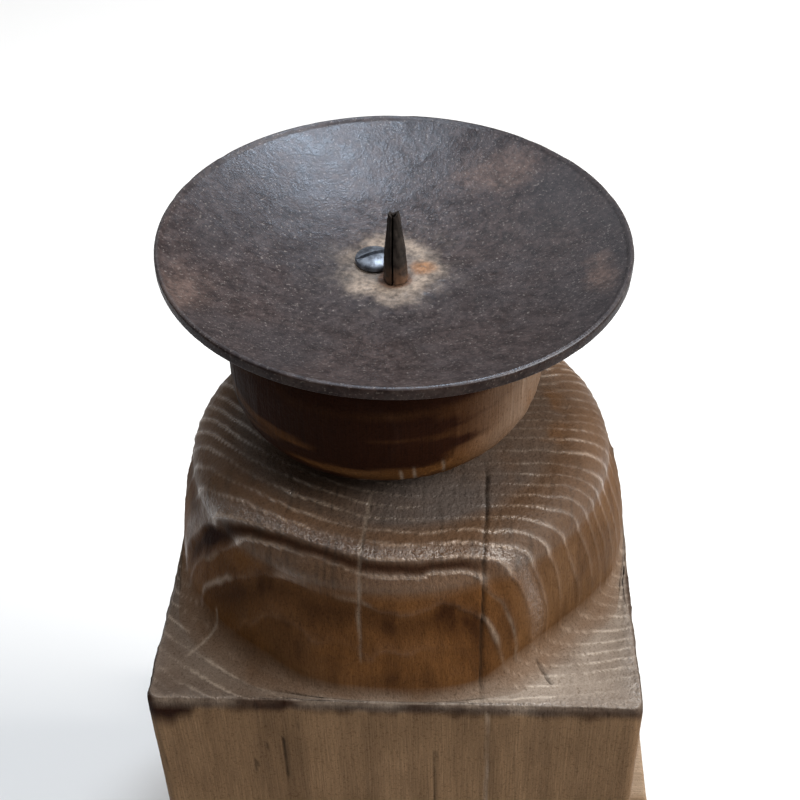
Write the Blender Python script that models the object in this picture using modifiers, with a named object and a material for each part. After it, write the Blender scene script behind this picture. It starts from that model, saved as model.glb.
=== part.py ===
"""A wooden pricket candlestick: one turned and squared post on a wider square plinth, with an
iron drip tray and a rolled-sheet spike on top. Metres, +Z up. The origin is on the table, under
the post's axis. Run it with: blender --background --python part.py
"""

import math

import bpy
from mathutils import Euler, Vector

# Driving dimensions
TRAY_RADIUS = 0.055
RIM_HEIGHT = 0.2615  # the tray's rim plane above the table, on the axis
BLOCK_WIDTH = 0.1212
PLINTH_WIDTH = 0.160
PLINTH_THICKNESS = 0.028
PAD_THICKNESS = 0.0025
GAP = 0.0003  # left between pieces that touch

# The tray
TRAY_TILT = Euler((math.radians(1.7), math.radians(1.8), 0))  # it leans to the front and right
SHEET = 0.0015
FLOOR_DEPTH = 0.0127  # the flat floor below the rim plane
FLOOR_RADIUS = 0.0135
SEAT_INNER = 0.0045  # clear of the spike's foot: the candle's flat seat runs from here outwards
DIMPLE = 0.0001  # the sheet is pressed in this much inside the seat, round the punched hole
DISH_POWER = 1.55  # how the dish curves up from its floor to its rim
HEM_DEPTH = 0.0031  # the folded edge
HEM_WIDTH = 0.0026
HEM_ROUND = 0.0005
HOLE_REACH = 0.006  # how far a hole's cutter reaches above and below the sheet

# The post's turned top, as heights from the rim plane
SEAT_TOP = -0.0110  # before the tray's seat is cut
SEAT_CUTTER = (0.1, 0.1, 0.02)
BEAD_OFFSET_X = -0.0030  # the bead was turned a little off the block's axis
BEAD_TOP_RADIUS = 0.0290
BEAD_RADIUS = 0.0385
BEAD_SIDE_TOP = -0.0270
BEAD_SIDE_LOW = -0.0355
BEAD_UNDERSIDE = -0.0510
NECK_RADIUS = 0.0225
CROWN_TOP = -0.0531  # the dome's crown at the neck
CROWN_RADIUS = 0.0420  # where the crown turns down into the shoulder
CROWN_EDGE = -0.0545
SHOULDER_RADIUS = 0.0536
SHOULDER_LOW = -0.0640
DOME_FOOT_RADIUS = 0.0592
DOME_SWELL = 0.0012
BLOCK_TOP_DEPTH = -0.0947
CORE_DEPTH = 0.012  # how far each turned core reaches into what is below it
CORNER_ROUND = 0.0030
HEWN_REACH = 0.0680  # the back right corner is hewn off this far from the axis, at the block's top
HEWN_SLOPE = 0.295  # how fast the hewn facet runs out to the full corner below
HEWN_CUTTER = 0.1
EDGE_ROUND = 0.0015

# The spike
SPIKE_HEIGHT = 0.0187
SPIKE_FOOT_RADIUS = 0.0029
SPIKE_TIP_RADIUS = 0.00125
SPIKE_WALL = 0.0006
SPIKE_BORE_FLOOR = 0.003
SPIKE_WAIST = 0.4  # the share of its height where the cone starts to taper more
SPIKE_LIFT = GAP + 0.0001  # clear of the leaning tray
SPIKE_STEPS = 22
SEAM_WIDTH = 0.00055
SEAM_START = 0.0015  # the seam opens this far above the bore's floor
SEAM_DIRECTION = math.radians(-102)  # the open seam faces the front, a little to the left
TANG_RADIUS = 0.0018
TANG_LENGTH = 0.024
NOTCH_DEPTH = 0.0011
NOTCH_TURN = math.radians(4)

# The screws
SCREW_POINT = 0.005  # the length of a screw's taper
POINT_RADIUS = 0.0003
TRAY_SCREW_AT = (-0.0050, 0.0063)
TRAY_SCREW_HEAD_RADIUS = 0.0047
TRAY_SCREW_HEAD_HEIGHT = 0.0024
TRAY_SCREW_RIM = 0.0007
TRAY_SCREW_SHANK = 0.0019
TRAY_SCREW_LENGTH = 0.024
SLOT_WIDTH = 0.0012
SLOT_DEPTH = 0.0012
SLOT_TURN = math.radians(24)
PLINTH_SCREW_AT = 0.038
PLINTH_SCREW_HEAD_RADIUS = 0.0048
PLINTH_SCREW_SHANK = 0.0024
PLINTH_SCREW_LENGTH = 0.056
PLINTH_SCREW_RIM = 0.0006
RECESS_WIDTH = 0.0014
RECESS_DEPTH = 0.0022
RECESS_TURN = math.radians(20)  # each screw's recess stands this much further round
SCREW_SINK = 0.0012  # the countersunk heads lie this far inside the plinth

# The pads
PAD_AT = 0.062
PAD_RADIUS = 0.009

STEPS = 48
SMALL_STEPS = 20
BLOCK_TOP = RIM_HEIGHT + BLOCK_TOP_DEPTH
PLINTH_BOTTOM = PAD_THICKNESS + GAP
PLINTH_TOP = PLINTH_BOTTOM + PLINTH_THICKNESS
BLOCK_BOTTOM = PLINTH_TOP + GAP
FOUR_CORNERS = ((1, -1), (1, 1), (-1, 1), (-1, -1))


def clear_scene():
    for old in list(bpy.data.objects):
        bpy.data.objects.remove(old, do_unlink=True)


def new_collection(name):
    made = bpy.data.collections.new(name)
    bpy.context.scene.collection.children.link(made)
    return made


def new_material(name, colour, roughness, metallic=0.0):
    made = bpy.data.materials.new(name)
    made.use_nodes = True
    shader = made.node_tree.nodes["Principled BSDF"]
    shader.inputs["Base Color"].default_value = (*colour, 1.0)
    shader.inputs["Roughness"].default_value = roughness
    shader.inputs["Metallic"].default_value = metallic
    return made


def place(obj, collection, material=None):
    """Moves an object into its collection and gives it its material."""
    for old in list(obj.users_collection):
        old.objects.unlink(obj)
    collection.objects.link(obj)
    if material:
        obj.data.materials.append(material)
    return obj


def arc(centre_r, centre_z, width, height, start, end, count):
    """Points of an elliptical arc in the profile plane, between two angles in degrees."""
    angles = [math.radians(start + (end - start) * i / count) for i in range(count + 1)]
    return [(centre_r + width * math.cos(a), centre_z + height * math.sin(a)) for a in angles]


def turned(name, profile, collection, material=None, steps=STEPS):
    """A solid of revolution about its own Z, from a profile that runs down its outer side."""
    mesh = bpy.data.meshes.new(name)
    points = [(r, 0.0, z) for r, z in profile]
    mesh.from_pydata(points, [(i, i + 1) for i in range(len(points) - 1)], [])
    obj = place(bpy.data.objects.new(name, mesh), collection, material)
    screw = obj.modifiers.new("Turn", "SCREW")
    screw.axis = "Z"
    screw.angle = math.tau
    screw.steps = steps
    screw.render_steps = steps
    screw.use_merge_vertices = True
    screw.merge_threshold = 0.00001
    screw.use_smooth_shade = True
    return obj


def box(name, size, location, collection, material=None):
    """A box with its scale applied."""
    bpy.ops.mesh.primitive_cube_add(size=1, location=location)
    obj = bpy.context.active_object
    obj.name = name
    obj.data.name = name
    for vertex in obj.data.vertices:
        vertex.co = Vector(size) * vertex.co
    return place(obj, collection, material)


def combine(target, tool, operation):
    """Adds a Boolean whose tool stays in the scene as a hidden object."""
    tool.hide_render = True
    tool.display_type = "WIRE"
    boolean = target.modifiers.new(f"{operation.title()} {tool.name}", "BOOLEAN")
    boolean.operation = operation
    boolean.object = tool
    boolean.solver = "EXACT"


def round_edges(obj, width, segments, upright_only):
    """A bevel on the upright edges alone, or on every edge."""
    bevel = obj.modifiers.new("Round", "BEVEL")
    bevel.width = width
    bevel.segments = segments
    bevel.limit_method = "ANGLE"
    if upright_only:
        bevel.limit_method = "WEIGHT"
        weights = obj.data.attributes.new("bevel_weight_edge", "FLOAT", "EDGE")
        for edge in obj.data.edges:
            start, end = (obj.data.vertices[i].co for i in edge.vertices)
            weights.data[edge.index].value = float(abs(start.z - end.z) > width)


def peg(name, radius, reach, collection):
    """A plain cylinder that reaches as far above its origin as below it."""
    profile = [(0, reach), (radius, reach), (radius, -reach), (0, -reach)]
    return turned(name, profile, collection, steps=SMALL_STEPS)


def set_on_tray(obj, at):
    """Sets an object square to the leaning tray, at a point in the tray's own frame."""
    obj.rotation_euler = TRAY_TILT
    obj.location = Vector((0, 0, RIM_HEIGHT)) + TRAY_TILT.to_matrix() @ Vector(at)


def dish_height(radius):
    """The dish's upper surface, from the rim plane."""
    share = max(0.0, (radius - FLOOR_RADIUS) / (TRAY_RADIUS - FLOOR_RADIUS))
    return -FLOOR_DEPTH * (1 - share**DISH_POWER)


def build_tray(parts, cutters, iron):
    """A dished sheet with a folded edge, holed for the spike's tang and for its screw."""
    rows = 9
    reach = TRAY_RADIUS - FLOOR_RADIUS
    radii = [FLOOR_RADIUS + reach * i / rows for i in range(rows)]
    middle = [(0, -FLOOR_DEPTH - DIMPLE), (SEAT_INNER - DIMPLE, -FLOOR_DEPTH - DIMPLE)]
    top = middle + [(SEAT_INNER, -FLOOR_DEPTH)] + [(r, dish_height(r)) for r in radii]
    edge = arc(TRAY_RADIUS - HEM_ROUND, -HEM_ROUND, HEM_ROUND, HEM_ROUND, 90, 0, 2)
    edge += arc(TRAY_RADIUS - HEM_ROUND, -HEM_DEPTH + HEM_ROUND, HEM_ROUND, HEM_ROUND, 0, -90, 2)
    inner_edge = TRAY_RADIUS - HEM_WIDTH
    hem = [(inner_edge, -HEM_DEPTH)]
    below = [(r, dish_height(r) - SHEET) for r in radii if dish_height(r) - SHEET < -HEM_DEPTH]
    profile = top + edge + hem + below[::-1] + [(0, -FLOOR_DEPTH - SHEET)]
    tray = turned("drip_tray", profile, parts, iron)
    set_on_tray(tray, (0, 0, 0))
    tang_hole = peg("tray_tang_hole", TANG_RADIUS + GAP, HOLE_REACH, cutters)
    tang_hole.location = (0, 0, RIM_HEIGHT - FLOOR_DEPTH)
    combine(tray, tang_hole, "DIFFERENCE")
    screw_hole = peg("tray_screw_hole", TRAY_SCREW_SHANK + GAP, HOLE_REACH, cutters)
    set_on_tray(screw_hole, (*TRAY_SCREW_AT, -FLOOR_DEPTH))
    combine(tray, screw_hole, "DIFFERENCE")


def build_spike(parts, cutters, iron):
    """A cone rolled from sheet, open along its seam and notched at its tip, above a pointed tang."""
    profile = [
        (0, SPIKE_BORE_FLOOR),
        (SPIKE_FOOT_RADIUS - 2 * SPIKE_WALL, SPIKE_BORE_FLOOR),
        (SPIKE_TIP_RADIUS - SPIKE_WALL, SPIKE_HEIGHT),
        (SPIKE_TIP_RADIUS, SPIKE_HEIGHT),
        (SPIKE_FOOT_RADIUS - SPIKE_WALL / 2, SPIKE_WAIST * SPIKE_HEIGHT),
        (SPIKE_FOOT_RADIUS, SPIKE_LIFT),
        (TANG_RADIUS, SPIKE_LIFT),
        (TANG_RADIUS, -TANG_LENGTH + SCREW_POINT),
        (POINT_RADIUS, -TANG_LENGTH),
        (0, -TANG_LENGTH),
    ]
    spike = turned("pricket_spike", profile, parts, iron, steps=SPIKE_STEPS)
    spike.location = (0, 0, RIM_HEIGHT - FLOOR_DEPTH)
    seam_low = SPIKE_BORE_FLOOR + SEAM_START
    outward = Vector((math.cos(SEAM_DIRECTION), math.sin(SEAM_DIRECTION), 0))
    seam_size = (2 * SPIKE_FOOT_RADIUS, SEAM_WIDTH, SPIKE_HEIGHT)
    seam = box("spike_seam_cutter", seam_size, (0, 0, 0), cutters)
    seam.rotation_euler = (0, 0, SEAM_DIRECTION)
    seam.location = spike.location + (SPIKE_FOOT_RADIUS - SPIKE_WALL / 2) * outward
    seam.location.z += seam_low + SPIKE_HEIGHT / 2
    combine(spike, seam, "DIFFERENCE")
    notch_side = NOTCH_DEPTH * math.sqrt(2)
    notch = box("spike_notch_cutter", (notch_side, 4 * SPIKE_FOOT_RADIUS, notch_side), (0, 0, 0), cutters)
    notch.rotation_euler = (0, math.radians(45), NOTCH_TURN)
    notch.location = spike.location
    notch.location.z += SPIKE_HEIGHT
    combine(spike, notch, "DIFFERENCE")


def build_tray_screw(parts, cutters, zinc):
    """A slotted pan-head screw, square to the tray, that holds it down on the bead."""
    head_arc = TRAY_SCREW_HEAD_HEIGHT - TRAY_SCREW_RIM
    head = arc(0, TRAY_SCREW_RIM, TRAY_SCREW_HEAD_RADIUS, head_arc, 90, 0, 6)
    head[0] = (0, TRAY_SCREW_HEAD_HEIGHT)
    profile = head + [
        (TRAY_SCREW_HEAD_RADIUS, 0),
        (TRAY_SCREW_SHANK, 0),
        (TRAY_SCREW_SHANK, -TRAY_SCREW_LENGTH + SCREW_POINT),
        (POINT_RADIUS, -TRAY_SCREW_LENGTH),
        (0, -TRAY_SCREW_LENGTH),
    ]
    screw = turned("tray_screw", profile, parts, zinc, steps=24)
    set_on_tray(screw, (*TRAY_SCREW_AT, -FLOOR_DEPTH + GAP))
    slot_size = (3 * TRAY_SCREW_HEAD_RADIUS, SLOT_WIDTH, 2 * SLOT_DEPTH)
    slot = box("tray_screw_slot_cutter", slot_size, (0, 0, 0), cutters)
    set_on_tray(slot, (*TRAY_SCREW_AT, -FLOOR_DEPTH + GAP + TRAY_SCREW_HEAD_HEIGHT))
    slot.rotation_euler = (TRAY_TILT.to_matrix() @ Euler((0, 0, SLOT_TURN)).to_matrix()).to_euler()
    combine(screw, slot, "DIFFERENCE")


def dome_profile():
    """The broad dome: a nearly flat crown, a rounded shoulder and a side that swells to its foot."""
    crown = [(0, CROWN_TOP), (NECK_RADIUS, CROWN_TOP)]
    drop = CROWN_EDGE - SHOULDER_LOW
    shoulder = arc(CROWN_RADIUS, SHOULDER_LOW, SHOULDER_RADIUS - CROWN_RADIUS, drop, 90, 0, 6)
    rows = 5
    side = []
    for i in range(1, rows + 1):
        share = i / rows
        radius = SHOULDER_RADIUS + (DOME_FOOT_RADIUS - SHOULDER_RADIUS) * share
        radius += DOME_SWELL * math.sin(math.pi * share)
        side.append((radius, SHOULDER_LOW + (BLOCK_TOP_DEPTH - SHOULDER_LOW) * share))
    core_low = BLOCK_TOP_DEPTH - CORE_DEPTH
    return crown + shoulder + side + [(DOME_FOOT_RADIUS, core_low), (0, core_low)]


def bead_profile():
    """The bead under the tray, and the short neck that joins it to the dome."""
    curve = BEAD_RADIUS - BEAD_TOP_RADIUS
    top = arc(BEAD_TOP_RADIUS, BEAD_SIDE_TOP, curve, SEAT_TOP - BEAD_SIDE_TOP, 90, 0, 5)
    curve = BEAD_RADIUS - NECK_RADIUS
    low = arc(NECK_RADIUS, BEAD_SIDE_LOW, curve, BEAD_SIDE_LOW - BEAD_UNDERSIDE, 0, -90, 7)
    core_low = CROWN_TOP - CORE_DEPTH
    return [(0, SEAT_TOP)] + top + low + [(NECK_RADIUS, core_low), (0, core_low)]


def build_post(parts, cutters, wood):
    """One timber: a square block with one hewn corner, a turned dome, a neck and a bead above."""
    height = BLOCK_TOP - BLOCK_BOTTOM
    middle = (0, 0, BLOCK_BOTTOM + height / 2)
    post = box("turned_post", (BLOCK_WIDTH, BLOCK_WIDTH, height), middle, parts, wood)
    round_edges(post, CORNER_ROUND, 2, upright_only=True)
    dome = turned("post_dome", dome_profile(), cutters)
    dome.location = (0, 0, RIM_HEIGHT)
    combine(post, dome, "UNION")
    facet_tilt = math.atan(HEWN_SLOPE)
    facet = box("post_hewn_corner_cutter", (HEWN_CUTTER, HEWN_CUTTER, HEWN_CUTTER), (0, 0, 0), cutters)
    facet.rotation_euler = (0, -facet_tilt, math.radians(45))
    facet_normal = facet.rotation_euler.to_matrix() @ Vector((1, 0, 0))
    facet_down = facet.rotation_euler.to_matrix() @ Vector((0, 0, -1))
    facet_top = Vector((HEWN_REACH / math.sqrt(2), HEWN_REACH / math.sqrt(2), BLOCK_TOP))
    facet.location = facet_top + HEWN_CUTTER / 2 * facet_normal + HEWN_CUTTER / 3 * facet_down
    combine(post, facet, "DIFFERENCE")
    bead = turned("post_bead", bead_profile(), cutters)
    bead.location = (BEAD_OFFSET_X, 0, RIM_HEIGHT)
    combine(post, bead, "UNION")
    seat = box("post_seat_cutter", SEAT_CUTTER, (0, 0, 0), cutters)
    set_on_tray(seat, (0, 0, SEAT_CUTTER[2] / 2 - FLOOR_DEPTH - SHEET - GAP))
    combine(post, seat, "DIFFERENCE")
    tang_bore = peg("post_tang_bore", TANG_RADIUS + GAP, TANG_LENGTH + 2 * GAP, cutters)
    tang_bore.location = (0, 0, RIM_HEIGHT - FLOOR_DEPTH)
    combine(post, tang_bore, "DIFFERENCE")
    pilot = peg("post_tray_screw_pilot", TRAY_SCREW_SHANK + GAP, TRAY_SCREW_LENGTH + GAP, cutters)
    set_on_tray(pilot, (*TRAY_SCREW_AT, -FLOOR_DEPTH))
    combine(post, pilot, "DIFFERENCE")
    pilot_reach = PLINTH_BOTTOM + SCREW_SINK + PLINTH_SCREW_LENGTH + 2 * GAP - BLOCK_BOTTOM
    for number, (side_x, side_y) in enumerate(FOUR_CORNERS, 1):
        pilot = peg(f"post_plinth_pilot_{number}", PLINTH_SCREW_SHANK + GAP, pilot_reach, cutters)
        pilot.location = (side_x * PLINTH_SCREW_AT, side_y * PLINTH_SCREW_AT, BLOCK_BOTTOM)
        combine(post, pilot, "DIFFERENCE")


def countersunk_profile(clearance, low, high):
    """A countersunk head that faces down, and the straight shank above it up to a height."""
    shank = PLINTH_SCREW_SHANK + clearance
    head = PLINTH_SCREW_HEAD_RADIUS + clearance
    cone_top = PLINTH_SCREW_RIM + PLINTH_SCREW_HEAD_RADIUS - PLINTH_SCREW_SHANK
    return [(shank, high), (shank, cone_top), (head, PLINTH_SCREW_RIM), (head, low), (0, low)]


def build_plinth_and_screws(parts, cutters, pale_wood, steel):
    """The wider square foot, and the four screws driven up through it into the post."""
    middle = (0, 0, PLINTH_BOTTOM + PLINTH_THICKNESS / 2)
    plinth = box("plinth", (PLINTH_WIDTH, PLINTH_WIDTH, PLINTH_THICKNESS), middle, parts, pale_wood)
    round_edges(plinth, EDGE_ROUND, 2, upright_only=False)
    for number, (side_x, side_y) in enumerate(FOUR_CORNERS, 1):
        at = Vector((side_x * PLINTH_SCREW_AT, side_y * PLINTH_SCREW_AT, PLINTH_BOTTOM + SCREW_SINK))
        through = PLINTH_THICKNESS + SCREW_POINT
        hole_profile = [(0, through)] + countersunk_profile(GAP, -2 * SCREW_SINK, through)
        hole = turned(f"plinth_hole_{number}", hole_profile, cutters, steps=SMALL_STEPS)
        hole.location = at
        combine(plinth, hole, "DIFFERENCE")
        point = [(0, PLINTH_SCREW_LENGTH), (POINT_RADIUS, PLINTH_SCREW_LENGTH)]
        profile = point + countersunk_profile(0, 0, PLINTH_SCREW_LENGTH - SCREW_POINT)
        screw = turned(f"plinth_screw_{number}", profile, parts, steel, steps=SMALL_STEPS)
        screw.location = at
        for way in (0, 1):
            size = [2 * PLINTH_SCREW_SHANK, RECESS_WIDTH, 2 * RECESS_DEPTH]
            bar = box(f"recess_cutter_{number}_{way}", size, at, cutters)
            bar.rotation_euler = (0, 0, math.radians(90 * way) + RECESS_TURN * number)
            combine(screw, bar, "DIFFERENCE")


def build_pads(parts, felt):
    """Four felt discs under the plinth's corners."""
    for number, (side_x, side_y) in enumerate(FOUR_CORNERS, 1):
        profile = [(0, PAD_THICKNESS), (PAD_RADIUS, PAD_THICKNESS), (PAD_RADIUS, 0), (0, 0)]
        pad = turned(f"felt_pad_{number}", profile, parts, felt, steps=24)
        pad.location = (side_x * PAD_AT, side_y * PAD_AT, 0)


def main():
    clear_scene()
    parts = new_collection("wooden_candlestick")
    cutters = new_collection("cutters")
    wood = new_material("weathered_brown_timber", (0.165, 0.105, 0.065), 0.6)
    pale_wood = new_material("pale_timber", (0.42, 0.31, 0.21), 0.6)
    iron = new_material("dark_iron", (0.065, 0.052, 0.05), 0.5, 0.6)
    zinc = new_material("zinc_plate", (0.42, 0.47, 0.54), 0.3, 1.0)
    steel = new_material("plain_steel", (0.5, 0.48, 0.45), 0.35, 1.0)
    felt = new_material("brown_felt", (0.09, 0.06, 0.04), 0.95)
    build_post(parts, cutters, wood)
    build_tray(parts, cutters, iron)
    build_spike(parts, cutters, iron)
    build_tray_screw(parts, cutters, zinc)
    build_plinth_and_screws(parts, cutters, pale_wood, steel)
    build_pads(parts, felt)


main()
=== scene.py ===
"""Looks for the wooden pricket candlestick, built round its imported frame. Metres, +Z up."""

import math
from collections import namedtuple

import bpy
import numpy as np
from mathutils import Euler, Matrix, Vector


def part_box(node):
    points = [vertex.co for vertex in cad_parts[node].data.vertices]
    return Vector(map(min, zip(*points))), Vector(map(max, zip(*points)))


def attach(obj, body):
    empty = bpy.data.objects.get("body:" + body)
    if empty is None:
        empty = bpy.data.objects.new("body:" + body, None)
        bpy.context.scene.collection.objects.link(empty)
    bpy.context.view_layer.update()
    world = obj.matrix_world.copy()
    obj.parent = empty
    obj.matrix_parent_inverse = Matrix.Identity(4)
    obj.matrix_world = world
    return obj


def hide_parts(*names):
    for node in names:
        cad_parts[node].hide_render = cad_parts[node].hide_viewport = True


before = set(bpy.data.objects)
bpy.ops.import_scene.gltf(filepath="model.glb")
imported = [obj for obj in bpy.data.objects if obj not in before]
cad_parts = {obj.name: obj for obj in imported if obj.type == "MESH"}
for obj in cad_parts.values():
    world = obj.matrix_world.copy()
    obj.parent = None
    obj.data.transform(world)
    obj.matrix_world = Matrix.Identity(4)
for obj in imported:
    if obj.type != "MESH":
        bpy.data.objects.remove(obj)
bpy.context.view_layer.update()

MM = 0.001

# The camera looks down on the front
CAMERA_AT = (0.01755, -0.26215, 0.42843)
CAMERA_TURN = (3.80, 50.49, -1.75)  # degrees: heading, tilt from straight down, roll
CAMERA_LENS = 60.39

# The frame's own dimensions: the tray, with depths from its rim plane
RIM_HEIGHT = 0.2615
TRAY_RADIUS = 0.055
TRAY_TILT = Euler((math.radians(1.7), math.radians(1.8), 0)).to_matrix()
SHEET = 0.0015
FLOOR_DEPTH = 0.0127
FLOOR_RADIUS = 0.0135
DISH_POWER = 1.55
HEM_DEPTH = 0.0031
HEM_WIDTH = 0.0026
HEM_ROUND = 0.0005
GAP = 0.0003

# The spike, a cone rolled from sheet
SPIKE_HEIGHT = 0.0187
SPIKE_FOOT_RADIUS = 0.0029
SPIKE_TIP_RADIUS = 0.00125
SPIKE_WALL = 0.0006
SPIKE_LIFT = 0.0004
SPIKE_BEND = 0.4  # the share of its height where it starts to taper more
SPIKE_SEAM = math.radians(-102)
SPIKE_SEAM_HALF = 0.00026
TANG_RADIUS = 0.0018
TANG_DEPTH = 0.024

# Screws and pads
Thread = namedtuple("Thread", "shank taper pitch depth")
TRAY_THREAD = Thread(shank=0.0019, taper=0.0016, pitch=0.0016, depth=0.00028)
PLINTH_THREAD = Thread(shank=0.0024, taper=0.0021, pitch=0.0021, depth=0.00032)
SCREW_TIP_RADIUS = 0.0004
SCREW_POINT_LENGTH = 0.005
TRAY_SCREW_AT = (-0.0050, 0.0063)
TRAY_SCREW_HEAD_RADIUS = 0.0047
TRAY_SCREW_HEAD_HEIGHT = 0.0024
TRAY_SCREW_HEAD_EDGE = 0.0007
TRAY_SCREW_LENGTH = 0.0240
SLOT_WIDTH = 0.0012
SLOT_TURN = math.radians(24)
SUNK_HEAD_RADIUS = 0.0048
SUNK_HEAD_EDGE = 0.0006
SUNK_HEAD_CONE = 0.0024
PLAIN_SHANK_TOP = 0.0100  # below this height a plinth screw's shank has no thread
RECESS_SIZE = (0.0046, 0.0013, 0.0040)
PAD_EDGE = 0.0006
PLINTH_EASE = 0.0015
PLINTH_PITH = (0.021, -0.055)  # y and z: the board's grain runs along x

# The post's turned top, as heights from the rim plane
SEAT_TOP = -0.0110
BEAD_OFFSET_X = -0.0030
BEAD_TOP_RADIUS = 0.0290
BEAD_RADIUS = 0.0385
BEAD_SIDE_TOP = -0.0270
BEAD_SIDE_LOW = -0.0355
BEAD_UNDERSIDE = -0.0510
BEAD_LIP = -0.0462  # where a pale line, partly worn and partly a painted highlight, runs round the bead's underside
NECK_RADIUS = 0.0225
CROWN_TOP = -0.0531
CROWN_RADIUS = 0.0420
CROWN_EDGE = -0.0545
SHOULDER_RADIUS = 0.0536
SHOULDER_LOW = -0.0640
DOME_FOOT_RADIUS = 0.0592
DOME_SWELL = 0.0012
DOME_PROUD = 0.00045  # the dome's skin starts this far out, because its relief only cuts in
FOOT_MARGIN = 0.0009  # the dome's foot stays this far inside the block's outline
BLOCK_TOP = -0.0947
FACE_BAND = 0.0055  # down to here on the block's faces the skin's rows are closest together
FACE_FINE = 0.026  # and they stay fine for this much more
CORNER_ROUND = 0.0030
HEWN_REACH = 0.0680  # the back right corner is hewn off this far from the axis, at the block's top
HEWN_SLOPE = 0.295

# The timber's growth rings and its wear
PITH = (0.028, 0.065)  # behind the block's back face, towards the right
RING_SPACING = 0.0036
MAIN_LEDGE = 0.1195  # the strongest ring edge, from the pith
SECOND_LEDGE = 0.0054  # how far the weaker one lies beyond the main ledge
LEDGE_DROP = 0.0008
RING_SQUEEZE = 0.072  # the rings lie closer to the pith on its right side
SQUEEZE_START = -112.0  # degrees round the pith
SQUEEZE_END = -86.0
POST_COLUMNS = 576

Crack = namedtuple("Crack", "start end low high width depth pale")
CRACKS = (
    Crack((0.0224, -0.0190), (0.0212, -0.0620), -0.096, -0.045, 0.00033, 0.0009, 0.0),
    Crack((0.0230, -0.0560), (0.0230, -0.0640), -0.150, -0.096, 0.00040, 0.0001, 0.8),
    Crack((-0.0050, -0.0300), (-0.0078, -0.0600), -0.084, -0.045, 0.00040, 0.0002, 0.75),
    Crack((0.0022, -0.0320), (0.0022, -0.0430), -0.0480, -0.0390, 0.00032, 0.0001, 0.8),
    Crack((0.0052, -0.0320), (0.0052, -0.0430), -0.0475, -0.0385, 0.00032, 0.0001, 0.8),
    Crack((0.0118, -0.0300), (0.0120, -0.0420), -0.0465, -0.0380, 0.00032, 0.0001, 0.7),
    Crack((0.0350, -0.0462), (0.0388, -0.0530), -0.100, -0.085, 0.00030, 0.0007, 0.0),
    Crack((-0.0275, -0.0560), (-0.0275, -0.0640), -0.127, -0.108, 0.00030, 0.0006, 0.0),
    Crack((0.0100, -0.0560), (0.0104, -0.0640), -0.170, -0.112, 0.00028, 0.0005, 0.0),
    Crack((-0.0530, -0.0470), (-0.0430, -0.0370), -0.100, -0.085, 0.00040, 0.0002, 1.0),
    Crack((0.0597, 0.0150), (0.0640, 0.0165), -0.200, -0.098, 0.00040, 0.0009, 0.0),
    Crack((-0.0640, 0.0060), (-0.0480, 0.0080), -0.170, -0.060, 0.00040, 0.0009, 0.0),
    Crack((0.0040, 0.0450), (0.0050, 0.0640), -0.210, -0.050, 0.00040, 0.0010, 0.0),
)

# What each stretch of the post's skin looks like: ring relief, how plain its ring lines are to see,
# and its shares of the warm, pale, tan and stain colours. That last share is dark stain,
# and also painted shade: the seat under the tray and the neck under the bead are painted near-black
Region = namedtuple("Region", "relief lines warm pale tan stain")
REGIONS = {
    # painted shade: the seat, under the tray, is painted near-black
    "seat": Region(0, 0, 0, 0, 0, 1),
    "bead": Region(0.22 * MM, 0.5, 1.0, 0, 0, 0.15),
    # painted shade: the neck, in the bead's undercut, is painted near-black
    "neck": Region(0.10 * MM, 0, 0, 0, 0, 1),
    "crown": Region(0.26 * MM, 1.0, 0.05, 0.05, 0, 0.02),
    "shoulder": Region(0.32 * MM, 1.0, 0.35, 0.05, 0, 0.02),
    "side": Region(0.30 * MM, 0.30, 1, 0, 0, 0),
    "fillet": Region(0.24 * MM, 0.5, 0.5, 0.45, 0, 0),
    "table": Region(0.42 * MM, 0.9, 0, 1, 0, 0),
    "arris": Region(0.24 * MM, 0.5, 0.1, 0.6, 0, 0),
    "face_top": Region(0.12 * MM, 0.3, 0, 0, 1, 0),
    "face": Region(0.12 * MM, 0.3, 0, 0, 1, 0),
    "under": Region(0.10 * MM, 0.3, 0, 0.3, 0.5, 0.3),
}
DOME = ("crown", "shoulder", "side")
BLOCK = ("arris", "face_top", "face", "under")

# The post's skin before its relief: its rows, its points, how far each lies beyond the main ledge,
# how much it stands on a ring's ridge, and how much it is at the front
Surface = namedtuple("Surface", "rows points past ridge front")


def lattice(ix, iy, iz, seed):
    """A repeatable random number from -1 to 1 for each whole-number corner."""
    mixed = (ix * 73856093) ^ (iy * 19349663) ^ (iz * 83492791) ^ (seed * 26544357)
    mixed = ((mixed ^ (mixed >> 13)) * 1274126177) & 0x7FFFFFFF
    mixed = ((mixed ^ (mixed >> 15)) * 668265263) & 0x7FFFFFFF
    return ((mixed >> 7) & 0xFFFFFF) / 0x7FFFFF - 1.0


def noise(points, size, seed):
    """Smooth noise from -1 to 1, whose bumps have this size: one number, or one for each axis."""
    scaled = points / np.asarray(size)
    corner = np.floor(scaled).astype(np.int64)
    share = scaled - corner
    share = share * share * (3 - 2 * share)
    total = np.zeros(points.shape[:-1])
    for dx in (0, 1):
        for dy in (0, 1):
            for dz in (0, 1):
                weight = np.abs(1 - dx - share[..., 0])
                weight = weight * np.abs(1 - dy - share[..., 1])
                weight = weight * np.abs(1 - dz - share[..., 2])
                value = lattice(corner[..., 0] + dx, corner[..., 1] + dy, corner[..., 2] + dz, seed)
                total += weight * value
    return total


def layered_noise(points, size, seed, layers=3):
    """Noise with finer and weaker layers on top."""
    total = np.zeros(points.shape[:-1])
    for layer in range(layers):
        total += noise(points, np.asarray(size) / 2**layer, seed + layer) / 2**layer
    return total


def smooth_step(value, low, high):
    """0 below low, 1 above high, and smooth between them."""
    share = np.clip((value - low) / (high - low), 0, 1)
    return share * share * (3 - 2 * share)


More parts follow.
